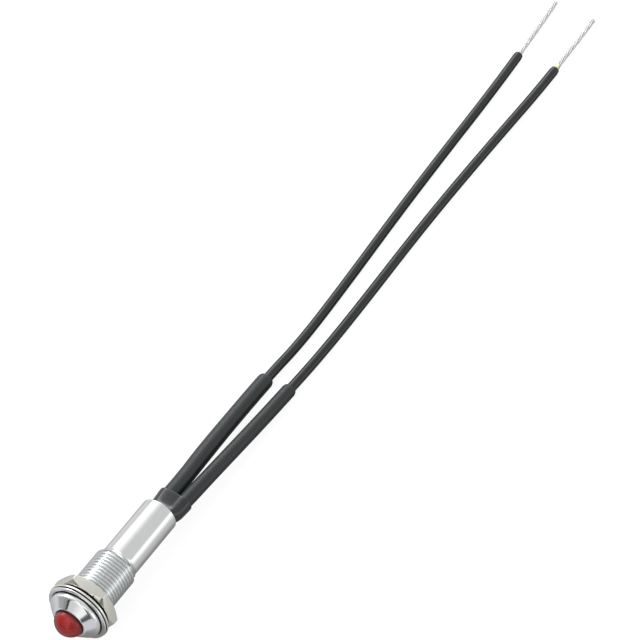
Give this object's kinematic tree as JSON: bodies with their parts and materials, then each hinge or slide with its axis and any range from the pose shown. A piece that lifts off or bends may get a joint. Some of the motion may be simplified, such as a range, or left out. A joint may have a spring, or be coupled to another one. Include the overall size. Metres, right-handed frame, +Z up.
{
  "type": "neon indicator lamp",
  "caption": "Panel-mount neon indicator lamp: red domed lens in a chromed bezel on a threaded barrel, with nut and washer, and black sleeved leads with stripped ends.",
  "frame": {"origin": "on the lamp's axis, at the rear face of the bezel's flange, which seats on the panel", "axes": "+Y along the lamp's axis from the lens to the leads, +Z up when the lamp lies on a flat surface, +X to the right seen from the lens end with +Z up"},
  "size_m": [0.0153, 0.2003, 0.0132],
  "materials": {
    "chrome_plate": "polished",
    "nickel_plate": "satin",
    "zinc_plate": "satin",
    "red_lens": "gloss",
    "bulb_glass": "gloss",
    "bare_wire": "satin",
    "pale_tubing": "matte",
    "resistor_body": "satin",
    "solder": "satin",
    "shrink_sleeve": "satin",
    "wire_sleeve": "satin",
    "lead_insulation": "satin",
    "tinned_copper": "satin"
  },
  "bodies": {
    "root": {"bezel_housing": "chrome_plate", "lens": "red_lens", "washer": "zinc_plate", "hex_nut": "nickel_plate", "neon_bulb": "bulb_glass", "left_bulb_wire": "bare_wire", "right_bulb_wire": "bare_wire", "left_bulb_wire_tube": "pale_tubing", "right_bulb_wire_tube": "pale_tubing", "series_resistor": "resistor_body", "resistor_solder_joint": "solder", "left_solder_joint": "solder", "right_solder_joint": "solder", "rear_shrink_sleeve": "shrink_sleeve", "left_wire_sleeve": "wire_sleeve", "right_wire_sleeve": "wire_sleeve", "left_lead_insulation": "lead_insulation", "right_lead_insulation": "lead_insulation", "left_lead_conductor": "tinned_copper", "right_lead_conductor": "tinned_copper"}
  },
  "joints": []
}
